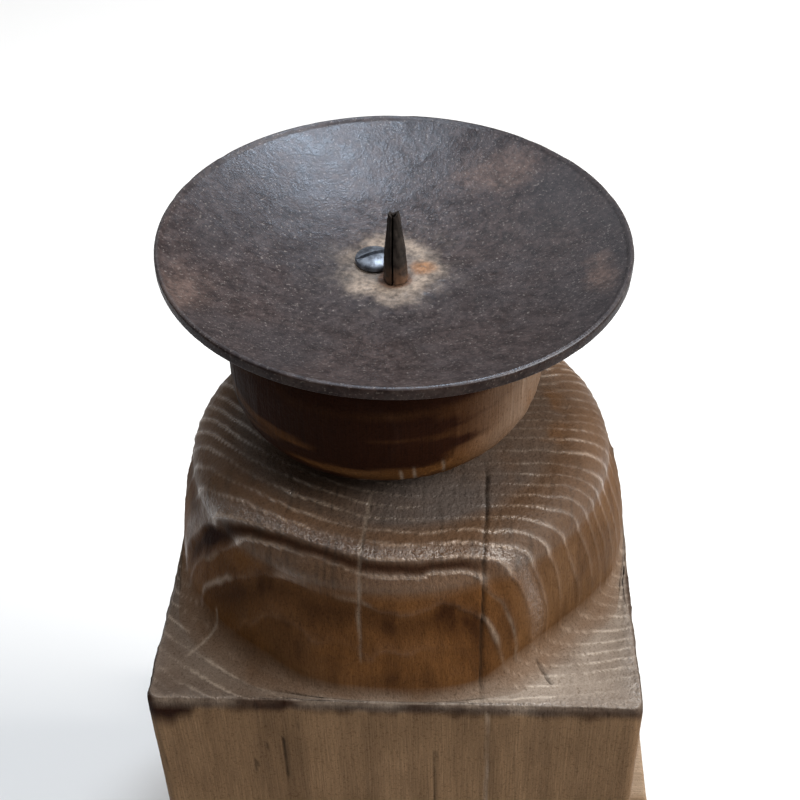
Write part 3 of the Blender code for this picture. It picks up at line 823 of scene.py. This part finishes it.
def spike_point(along, share, wall):
    """A point of the rolled sheet: this share of the way round from its seam, and up its height."""
    radius = spike_radius(share)
    gap = math.asin(min(0.9, SPIKE_SEAM_HALF / radius))
    angle = SPIKE_SEAM + gap + (math.tau - 2 * gap) * along
    lap = 0.00016 * float(smooth_step(along, 0.9, 1.0))
    hammered = 0.00007 * math.sin(9 * angle + 11 * share) * math.sin(5 * share + angle)
    radius += lap + hammered - wall
    x, y = radius * math.cos(angle), radius * math.sin(angle)
    notch = max(0.0, 0.0012 - 1.1 * abs(x - 0.0001))
    lower_horn = 0.0004 if x < 0 else 0
    top = SPIKE_HEIGHT - 0.0001 - notch - lower_horn
    return (x, y, SPIKE_LIFT + (top - SPIKE_LIFT) * share)


def rolled_sheet(columns, rows):
    """The points and faces of a closed sheet, rolled so that its edges leave a narrow seam open."""
    shares = [row / rows for row in range(rows + 1)]
    points = []
    for column in range(columns + 1):
        along = column / columns
        points += [spike_point(along, share, 0) for share in shares]
        points += [spike_point(along, share, SPIKE_WALL) for share in reversed(shares)]
    size = 2 * len(shares)
    faces = []
    for column in range(columns):
        for step in range(size):
            a, b = column * size + step, column * size + (step + 1) % size
            faces.append((a, a + size, b + size, b))
    for edge, flip in ((0, True), (columns, False)):
        for step in range(rows):
            a, b = edge * size + step, edge * size + step + 1
            c, d = edge * size + size - 2 - step, edge * size + size - 1 - step
            faces.append((a, b, c, d) if flip else (d, c, b, a))
    return points, faces


def build_spike(material):
    """A cone rolled from sheet. Its edges meet in an open seam at the front, and its tip has two horns."""
    points, faces = rolled_sheet(60, 40)
    profile = [(0.0009, 0.0034), (0.0016, 0.0030), (TANG_RADIUS, 0.0022), (TANG_RADIUS, 0.0006)]
    profile += [(TANG_RADIUS, -0.004), (TANG_RADIUS, -0.010), (0.00178, -0.016), (0.0017, -0.019)]
    tang = turned_grid(profile + [(0.0003, -TANG_DEPTH)], 28)
    index = len(points) + np.arange(tang.shape[0] * tang.shape[1]).reshape(tang.shape[:2])
    points += tang.reshape(-1, 3).tolist()
    faces += band_faces(index) + [index[0].tolist(), index[-1][::-1].tolist()]
    spike = smooth_object("rolled_spike", points, faces, material, sharp_angle=40)
    spike.location = (0, 0, RIM_HEIGHT - FLOOR_DEPTH)
    return spike


def build_tray_screw(material):
    """A slotted pan-head screw with a domed head, square to the tray."""
    radius, top, edge = TRAY_SCREW_HEAD_RADIUS, TRAY_SCREW_HEAD_HEIGHT, TRAY_SCREW_HEAD_EDGE
    profile = [(0.0004, top)] + arc(0, edge, radius, top - edge, 84, 0, 16)
    profile += [(radius, 0.0002), (radius - 0.0002, 0), (TRAY_THREAD.shank, 0)]
    profile += threaded(TRAY_THREAD, -0.0002, 0.0003 - TRAY_SCREW_LENGTH, -TRAY_SCREW_LENGTH, 70)
    place = Matrix.Translation((0, 0, RIM_HEIGHT)) @ TRAY_TILT.to_4x4()
    place = place @ Matrix.Translation((*TRAY_SCREW_AT, GAP - FLOOR_DEPTH))
    screw = skin("zinc_screw", turned_grid(profile, 72), material, sharp_angle=50)
    screw.matrix_world = place
    slot = Matrix.Translation((0, 0, top)) @ Matrix.Rotation(SLOT_TURN, 4, "Z")
    cut(screw, [bar("slot_tool", (0.02, SLOT_WIDTH, 2 * SLOT_WIDTH), place @ slot)])
    screw.data.shade_smooth()
    screw.data.set_sharp_from_angle(angle=math.radians(35))
    return screw


def node(tree, kind, inputs=None, **settings):
    """Adds a node, sets its properties, then fills its sockets with values or links."""
    made = tree.nodes.new(kind)
    for key, value in settings.items():
        setattr(made, key, value)
    for socket, value in (inputs or {}).items():
        if isinstance(value, bpy.types.NodeSocket):
            tree.links.new(value, made.inputs[socket])
        else:
            made.inputs[socket].default_value = value
    return made


def new_material(name, **values):
    """A material and its shader, with plain values set on the shader's own sockets."""
    material = bpy.data.materials.new(name)
    material.use_nodes = True
    shader = material.node_tree.nodes["Principled BSDF"]
    for key, value in values.items():
        shader.inputs[key.replace("_", " ")].default_value = value
    return material, material.node_tree, shader


def rgb(red, green, blue):
    return (red, green, blue, 1.0)


def mix(tree, share, low, high, way="MIX"):
    """A colour between two others, or their product if way is MULTIPLY."""
    mixed = node(tree, "ShaderNodeMix", data_type="RGBA", blend_type=way, clamp_factor=True)
    for socket, value in ((0, share), (6, low), (7, high)):
        if isinstance(value, bpy.types.NodeSocket):
            tree.links.new(value, mixed.inputs[socket])
        else:
            mixed.inputs[socket].default_value = value
    return mixed.outputs[2]


def math_node(tree, operation, *values, clamp=False):
    """One arithmetic step on numbers or sockets."""
    made = node(tree, "ShaderNodeMath", dict(enumerate(values)), operation=operation, use_clamp=clamp)
    return made.outputs[0]


def times(tree, first, second):
    return math_node(tree, "MULTIPLY", first, second)


def between(tree, value, low, high, out_low=0.0, out_high=1.0):
    """Maps a value's range onto another, with soft ends."""
    inputs = {"Value": value, "From Min": low, "From Max": high, "To Min": out_low, "To Max": out_high}
    return node(tree, "ShaderNodeMapRange", inputs, interpolation_type="SMOOTHSTEP").outputs[0]


def ramp(tree, value, low, high, dark, light):
    """A colour that goes from dark to light as the value goes from low to high."""
    return mix(tree, between(tree, value, low, high), dark, light)


def shaded(tree, colour, strength, value, low, high, dark, light):
    """The colour, multiplied by such a ramp at this strength."""
    return mix(tree, strength, colour, ramp(tree, value, low, high, dark, light), "MULTIPLY")


def stretched(tree, scale):
    """Object coordinates, scaled for each axis."""
    place = node(tree, "ShaderNodeTexCoord").outputs["Object"]
    return node(tree, "ShaderNodeMapping", {"Vector": place, "Scale": scale}).outputs[0]


def grain(tree, scale, detail=3.0, roughness=0.55, distortion=0.0):
    """Procedural noise at a scale, in bumps per metre for each axis."""
    sides = scale if isinstance(scale, tuple) else (scale, scale, scale)
    inputs = {"Vector": stretched(tree, sides), "Scale": 1.0, "Detail": detail}
    inputs.update({"Roughness": roughness, "Distortion": distortion})
    return node(tree, "ShaderNodeTexNoise", inputs).outputs["Fac"]


def mask(tree, name):
    """A value that the mesh holds at each point."""
    return node(tree, "ShaderNodeAttribute", attribute_name=name).outputs["Fac"]


def drive(tree, shader, **sockets):
    """Links these sockets to the shader's inputs of the same names."""
    for key, socket in sockets.items():
        tree.links.new(socket, shader.inputs[key.replace("_", " ")])


def tint(tree, name, value, low, high, out_low, out_high):
    """The mesh's own share of a tint, made uneven by a noise."""
    return times(tree, mask(tree, name), between(tree, value, low, high, out_low, out_high))


def bumped(tree, shader, layers):
    """Chains bumps: (height, distance in metres, strength)."""
    normal = None
    for height, distance, strength in layers:
        inputs = {"Height": height, "Distance": distance, "Strength": strength}
        if normal is not None:
            inputs["Normal"] = normal
        normal = node(tree, "ShaderNodeBump", inputs).outputs[0]
    tree.links.new(normal, shader.inputs["Normal"])


Timber = namedtuple("Timber", "groove ridge grey warm pale tan stain crack worn")


def timber_colour(tree, colours, grains, ridge):
    """Ring lines first, then each tint over them, then streaks, pores and clouds, then the checks."""
    fibres, threads, pores, blotches, clouds = grains
    uneven = math_node(tree, "ADD", ridge, math_node(tree, "MULTIPLY_ADD", threads, 0.9, -0.45))
    colour = ramp(tree, uneven, 0.0, 1.0, colours.groove, colours.ridge)
    colour = mix(tree, tint(tree, "grey", blotches, 0.25, 0.6, 0.5, 0.9), colour, colours.grey)
    warm = tint(tree, "warm", clouds, 0.30, 0.62, 0.70, 1.0)
    colour = mix(tree, warm, colour, colours.warm)
    tan = shaded(tree, colours.tan, 1.0, uneven, 0.0, 0.9, rgb(0.82, 0.80, 0.78), rgb(1.2, 1.2, 1.2))
    colour = mix(tree, mask(tree, "tan"), colour, tan)
    warm = times(tree, warm, 0.8)
    colour = shaded(tree, colour, warm, uneven, 0.1, 0.9, rgb(0.55, 0.50, 0.45), rgb(1.25, 1.2, 1.15))
    pale_dark = mix(tree, 0.55, colours.groove, colours.pale)
    pale = ramp(tree, uneven, 0.0, 0.8, pale_dark, colours.pale)
    colour = mix(tree, tint(tree, "pale", blotches, 0.25, 0.65, 0.45, 1.0), colour, pale)
    # this tint paints dark stain and also painted shade: under the tray, on the bead, in the neck and below the
    # ledges
    colour = mix(tree, tint(tree, "stain", blotches, 0.15, 0.45, 0.94, 1.0), colour, colours.stain)
    # the worn tint: rubbed wood, and painted highlights on the ledges' and the bead's lips
    colour = mix(tree, tint(tree, "worn", blotches, 0.35, 0.6, 0.2, 0.8), colour, colours.worn)
    colour = shaded(tree, colour, 0.55, fibres, 0.3, 0.7, rgb(0.72, 0.70, 0.68), rgb(1.22, 1.2, 1.18))
    colour = shaded(tree, colour, 0.6, pores, 0.34, 0.46, rgb(0.55, 0.5, 0.45), rgb(1.0, 1.0, 1.0))
    colour = shaded(tree, colour, 0.8, clouds, 0.3, 0.7, rgb(0.82, 0.8, 0.78), rgb(1.14, 1.14, 1.14))
    return mix(tree, mask(tree, "crack"), colour, colours.crack)


def timber_material(name, colours, along=(1.0, 1.0, 0.03)):
    """Weathered, waxed softwood. Its fibres run along the axis whose share of the scale is smallest."""
    material, tree, shader = new_material(name)
    fibres = grain(tree, tuple(2400 * share for share in along), 3.0, 0.6)
    threads = grain(tree, tuple(620 * share for share in along), 4.0, 0.6)
    pores = grain(tree, 1500.0, 3.0, 0.6)
    blotches = grain(tree, 70.0, 5.0, 0.6)
    clouds = grain(tree, 24.0, 3.0, 0.5)
    knobs = grain(tree, 760.0, 3.0, 0.55)
    ridge = mask(tree, "ridge")
    gloss = mask(tree, "gloss")
    colour = timber_colour(tree, colours, (fibres, threads, pores, blotches, clouds), ridge)
    waxed = times(tree, gloss, between(tree, blotches, 0.35, 0.6, 0.55, 1.0))
    shine = math_node(tree, "ADD", times(tree, ridge, 0.15), waxed)
    roughness = between(tree, shine, 0.0, 1.1, 0.62, 0.20)
    level = between(tree, shine, 0.0, 1.1, 0.02, 1.00)
    drive(tree, shader, Base_Color=colour, Roughness=roughness, Specular_IOR_Level=level)
    hammered_wax = (knobs, 0.0007, between(tree, gloss, 0.0, 0.8, 0.20, 0.95))
    bumped(tree, shader, [hammered_wax, (threads, 0.0004, 0.35), (fibres, 0.0003, 0.4), (pores, 0.0003, 0.5)])
    return material


def circle_share(tree, centre, inner, outer, stretch=(1.0, 1.0, 0)):
    """1 within a round patch of the tray, 0 beyond it, with a ragged edge."""
    place = node(tree, "ShaderNodeTexCoord").outputs["Object"]
    shifted = node(tree, "ShaderNodeVectorMath", {0: place, 1: centre}, operation="SUBTRACT").outputs[0]
    sized = node(tree, "ShaderNodeVectorMath", {0: shifted, 1: stretch}, operation="MULTIPLY").outputs[0]
    far = node(tree, "ShaderNodeVectorMath", {0: sized}, operation="LENGTH").outputs["Value"]
    width = outer - inner
    wobble = times(tree, grain(tree, 160.0, 4.0, 0.6), width * 1.6)
    edge = math_node(tree, "ADD", far, wobble)
    return between(tree, edge, outer + width * 0.8, inner + width * 0.8)


# The tray's patches, in the order they lie. Their strength goes from weak to strong with the mottling,
# which counts from mottle_low to mottle_low + 0.3.
Patch = namedtuple("Patch", "centre inner outer stretch mottle_low weak strong colour")
RUST = rgb(0.090, 0.060, 0.050)
IRON_PATCHES = (
    Patch((0.024, 0.036, 0), 0.004, 0.013, (0.9, 1.5, 0), 0.3, 0.3, 0.8, RUST),
    Patch((-0.046, -0.022, 0), 0.003, 0.012, (1.6, 0.8, 0), 0.3, 0.3, 0.8, RUST),
    Patch((0.047, -0.008, 0), 0.001, 0.009, (1.8, 0.7, 0), 0.3, 0.3, 0.8, RUST),
    Patch((-0.0010, 0.0035, 0), 0.008, 0.024, (1.0, 1.0, 1.0), 0.3, 0.55, 0.55, rgb(0.130, 0.108, 0.096)),
    Patch((-0.0008, 0.004, 0), 0.0078, 0.0142, (1.0, 0.9, 0), 0.25, 0.45, 1.0, rgb(0.235, 0.190, 0.155)),
    Patch((-0.0002, 0.005, 0), 0.0045, 0.0080, (1.0, 0.9, 0), 0.3, 0.65, 0.65, rgb(0.085, 0.075, 0.074)),
    Patch((0.0066, 0.0046, 0), 0.0010, 0.0042, (1.0, 1.0, 0), 0.3, 0.8, 0.8, rgb(0.22, 0.105, 0.045)),
    Patch((0, 0, 0), 0.0034, 0.0046, (1.0, 1.0, 0), 0.3, 0.75, 0.75, rgb(0.10, 0.045, 0.022)),
)


def iron_material():
    """Dark oxidised sheet iron: brown and blue-grey mottling, pits, rusty patches and a wax crust, with painted
    shade on the outside of its rim.
    """
    material, tree, shader = new_material("old_iron", Metallic=0.1, Specular_Tint=rgb(0.72, 0.85, 1.0))
    clouds = grain(tree, 28.0, 4.0, 0.55)
    mottle = grain(tree, 230.0, 7.0, 0.70)
    grit = grain(tree, 900.0, 3.0, 0.6)
    specks = grain(tree, 1700.0, 2.0, 0.5)
    colour = ramp(tree, mottle, 0.32, 0.68, rgb(0.021, 0.014, 0.013), rgb(0.050, 0.036, 0.034))
    cool = times(tree, between(tree, clouds, 0.42, 0.60), 0.55)
    colour = mix(tree, cool, colour, rgb(0.030, 0.026, 0.028))
    for patch in IRON_PATCHES:
        share = circle_share(tree, patch.centre, patch.inner, patch.outer, patch.stretch)
        low = patch.mottle_low
        share = times(tree, share, between(tree, mottle, low, low + 0.3, patch.weak, patch.strong))
        colour = mix(tree, share, colour, patch.colour)
    bright = between(tree, specks, 0.60, 0.72, 0.0, 0.55)
    colour = mix(tree, bright, colour, rgb(0.170, 0.152, 0.142))
    colour = shaded(tree, colour, 0.8, grit, 0.3, 0.7, rgb(0.62, 0.62, 0.62), rgb(1.4, 1.38, 1.36))
    inside = circle_share(tree, (0, 0, 0), TRAY_RADIUS - 1.4 * MM, TRAY_RADIUS - 0.9 * MM)
    worn = math_node(tree, "SUBTRACT", 1.0, inside, clamp=True)
    worn = times(tree, worn, between(tree, mottle, 0.45, 0.65, 0.0, 0.4))
    colour = mix(tree, worn, colour, rgb(0.045, 0.039, 0.036))
    top_side = circle_share(tree, (0, 0, 0), TRAY_RADIUS - 0.30 * MM, TRAY_RADIUS - 0.15 * MM)
    level = between(tree, top_side, 0.0, 1.0, 0.03, 0.5)
    # painted shade: the outer side of the folded rim is darkened
    rim_shade_tone = mix(tree, top_side, rgb(0.62, 0.58, 0.54), rgb(1.0, 1.0, 1.0))
    colour = mix(tree, 1.0, colour, rim_shade_tone, "MULTIPLY")
    roughness = between(tree, mottle, 0.3, 0.7, 0.32, 0.44)
    drive(tree, shader, Base_Color=colour, Roughness=roughness, Specular_IOR_Level=level)
    bumped(tree, shader, [(mottle, 0.0003, 0.22), (grit, 0.0002, 0.35), (specks, 0.00015, 0.35)])
    return material


def spike_material():
    """Blackened iron with scratches along it and rust at its foot."""
    material, tree, shader = new_material("blackened_iron", Metallic=0.1, Specular_IOR_Level=0.22)
    scratches = grain(tree, (2600.0, 2600.0, 160.0), 3.0, 0.6)
    mottle = grain(tree, 500.0, 5.0, 0.6)
    colour = ramp(tree, mottle, 0.3, 0.7, rgb(0.010, 0.008, 0.007), rgb(0.032, 0.025, 0.021))
    scratched = between(tree, scratches, 0.62, 0.8, 0.0, 0.3)
    colour = mix(tree, scratched, colour, rgb(0.12, 0.105, 0.095))
    height = node(tree, "ShaderNodeSeparateXYZ", {0: stretched(tree, (1.0, 1.0, 1.0))}).outputs["Z"]
    low = between(tree, height, 0.0065, 0.0008)
    rust = times(tree, low, between(tree, mottle, 0.35, 0.6, 0.15, 0.7))
    colour = mix(tree, rust, colour, rgb(0.12, 0.060, 0.032))
    drive(tree, shader, Base_Color=colour, Roughness=between(tree, mottle, 0.3, 0.7, 0.38, 0.62))
    bumped(tree, shader, [(mottle, 0.0003, 0.5), (scratches, 0.0002, 0.5)])
    return material


def metal_material(name, light, dark, roughness):
    """Plated or plain screw metal, with faint handling marks."""
    material, tree, shader = new_material(name, Metallic=1.0)
    marks = grain(tree, (1800.0, 700.0, 700.0), 4.0, 0.6)
    tarnish = grain(tree, 420.0, 5.0, 0.6)
    colour = ramp(tree, tarnish, 0.35, 0.65, dark, light)
    handled = between(tree, marks, 0.3, 0.7, roughness, roughness + 0.2)
    drive(tree, shader, Base_Color=colour, Roughness=handled)
    bumped(tree, shader, [(marks, 0.0001, 0.35), (tarnish, 0.0001, 0.3)])
    return material


def felt_material():
    """Pressed brown wool felt: matted fibres with a soft sheen."""
    sheen = {"Sheen_Weight": 0.4, "Sheen_Roughness": 0.6}
    material, tree, shader = new_material("pressed_felt", Roughness=0.95, **sheen)
    fibres = grain(tree, 2600.0, 4.0, 0.7, 1.2)
    wads = grain(tree, 320.0, 4.0, 0.6)
    colour = ramp(tree, fibres, 0.3, 0.7, rgb(0.040, 0.026, 0.018), rgb(0.125, 0.088, 0.062))
    colour = shaded(tree, colour, 0.8, wads, 0.3, 0.7, rgb(0.75, 0.75, 0.75), rgb(1.2, 1.2, 1.2))
    drive(tree, shader, Base_Color=colour)
    bumped(tree, shader, [(fibres, 0.0004, 0.9), (wads, 0.0004, 0.5)])
    return material


def build_floor():
    """A plain pale floor."""
    bpy.ops.mesh.primitive_plane_add(size=8, location=(0, 0, 0))
    floor = bpy.context.active_object
    floor.name = "floor"
    material, _, shader = new_material("pale_floor", Roughness=0.9, Specular_IOR_Level=0.1)
    shader.inputs["Base Color"].default_value = rgb(0.77, 0.77, 0.77)
    floor.data.materials.append(material)


def area_light(name, location, target, size, power, colour):
    """A square soft light that faces a target."""
    data = bpy.data.lights.new(name, "AREA")
    data.size = size
    data.energy = power
    data.color = colour
    light = bpy.data.objects.new(name, data)
    light.location = location
    light.rotation_euler = (Vector(target) - Vector(location)).to_track_quat("-Z", "Y").to_euler()
    bpy.context.scene.collection.objects.link(light)


def build_lights():
    """A large warm key at the right, two small cool lamps overhead that sheen the tray, and a fill behind."""
    area_light("window", (0.27, 0.30, 1.42), (0, 0, 0.25), 0.28, 12.0, (0.86, 0.93, 1.0))
    area_light("ceiling", (-0.22, -0.28, 1.55), (0, 0, 0.2), 0.26, 6.0, (0.97, 0.98, 1.0))
    area_light("key", (1.75, -0.42, 1.50), (0, 0, 0.15), 1.30, 76.0, (1.0, 0.95, 0.89))
    area_light("back_fill", (-1.1, 1.3, 1.7), (-0.6, 0.8, 0), 1.4, 6.5, (1.0, 1.0, 1.0))
    world = bpy.data.worlds.new("surround")
    world.use_nodes = True
    background = world.node_tree.nodes["Background"]
    background.inputs["Color"].default_value = rgb(1.0, 1.0, 1.0)
    background.inputs["Strength"].default_value = 0.22
    bpy.context.scene.world = world


def build_camera():
    """The camera, set as the scene's own."""
    data = bpy.data.cameras.new("camera")
    data.lens = CAMERA_LENS
    data.sensor_width = 36.0
    camera = bpy.data.objects.new("camera", data)
    heading, tilt, roll = (math.radians(angle) for angle in CAMERA_TURN)
    turn = Matrix.Rotation(heading, 4, "Z") @ Matrix.Rotation(tilt, 4, "X") @ Matrix.Rotation(roll, 4, "Z")
    camera.matrix_world = Matrix.Translation(CAMERA_AT) @ turn
    bpy.context.scene.collection.objects.link(camera)
    bpy.context.scene.camera = camera


def stand_for(piece, node_name):
    """The piece rides on the one body, and stands for its CAD node."""
    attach(piece, "root")
    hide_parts(node_name)


def main():
    old_wood = Timber(
        groove=rgb(0.074, 0.048, 0.033),
        ridge=rgb(0.245, 0.190, 0.145),
        grey=rgb(0.064, 0.056, 0.054),
        warm=rgb(0.140, 0.064, 0.020),
        pale=rgb(0.330, 0.285, 0.240),
        tan=rgb(0.182, 0.118, 0.068),
        # near-black, for dark stain and for painted shade under the tray and in the neck
        stain=rgb(0.013, 0.004, 0.0015),
        crack=rgb(0.012, 0.008, 0.005),
        # pale: for rubbed wear, and for painted highlights on the lips
        worn=rgb(0.300, 0.245, 0.195),
    )
    pale_wood = old_wood._replace(groove=rgb(0.170, 0.115, 0.072), ridge=rgb(0.250, 0.185, 0.130))
    old_timber = timber_material("weathered_timber", old_wood)
    pale_timber = timber_material("pale_timber", pale_wood, along=(0.03, 1.0, 1.0))
    zinc = metal_material("zinc_plate", rgb(0.25, 0.28, 0.33), rgb(0.09, 0.10, 0.12), 0.42)
    steel = metal_material("plain_steel", rgb(0.55, 0.53, 0.50), rgb(0.32, 0.30, 0.28), 0.28)
    felt = felt_material()
    stand_for(build_post(old_timber), "turned_post")
    stand_for(build_plinth(pale_timber), "plinth")
    stand_for(build_tray(iron_material()), "drip_tray")
    stand_for(build_spike(spike_material()), "pricket_spike")
    stand_for(build_tray_screw(zinc), "tray_screw")
    for number in range(1, 5):
        stand_for(build_plinth_screw(number, steel), f"plinth_screw_{number}")
        stand_for(build_pad(number, felt), f"felt_pad_{number}")
    build_floor()
    build_lights()
    build_camera()
    bpy.context.scene.view_settings.view_transform = "Standard"


main()
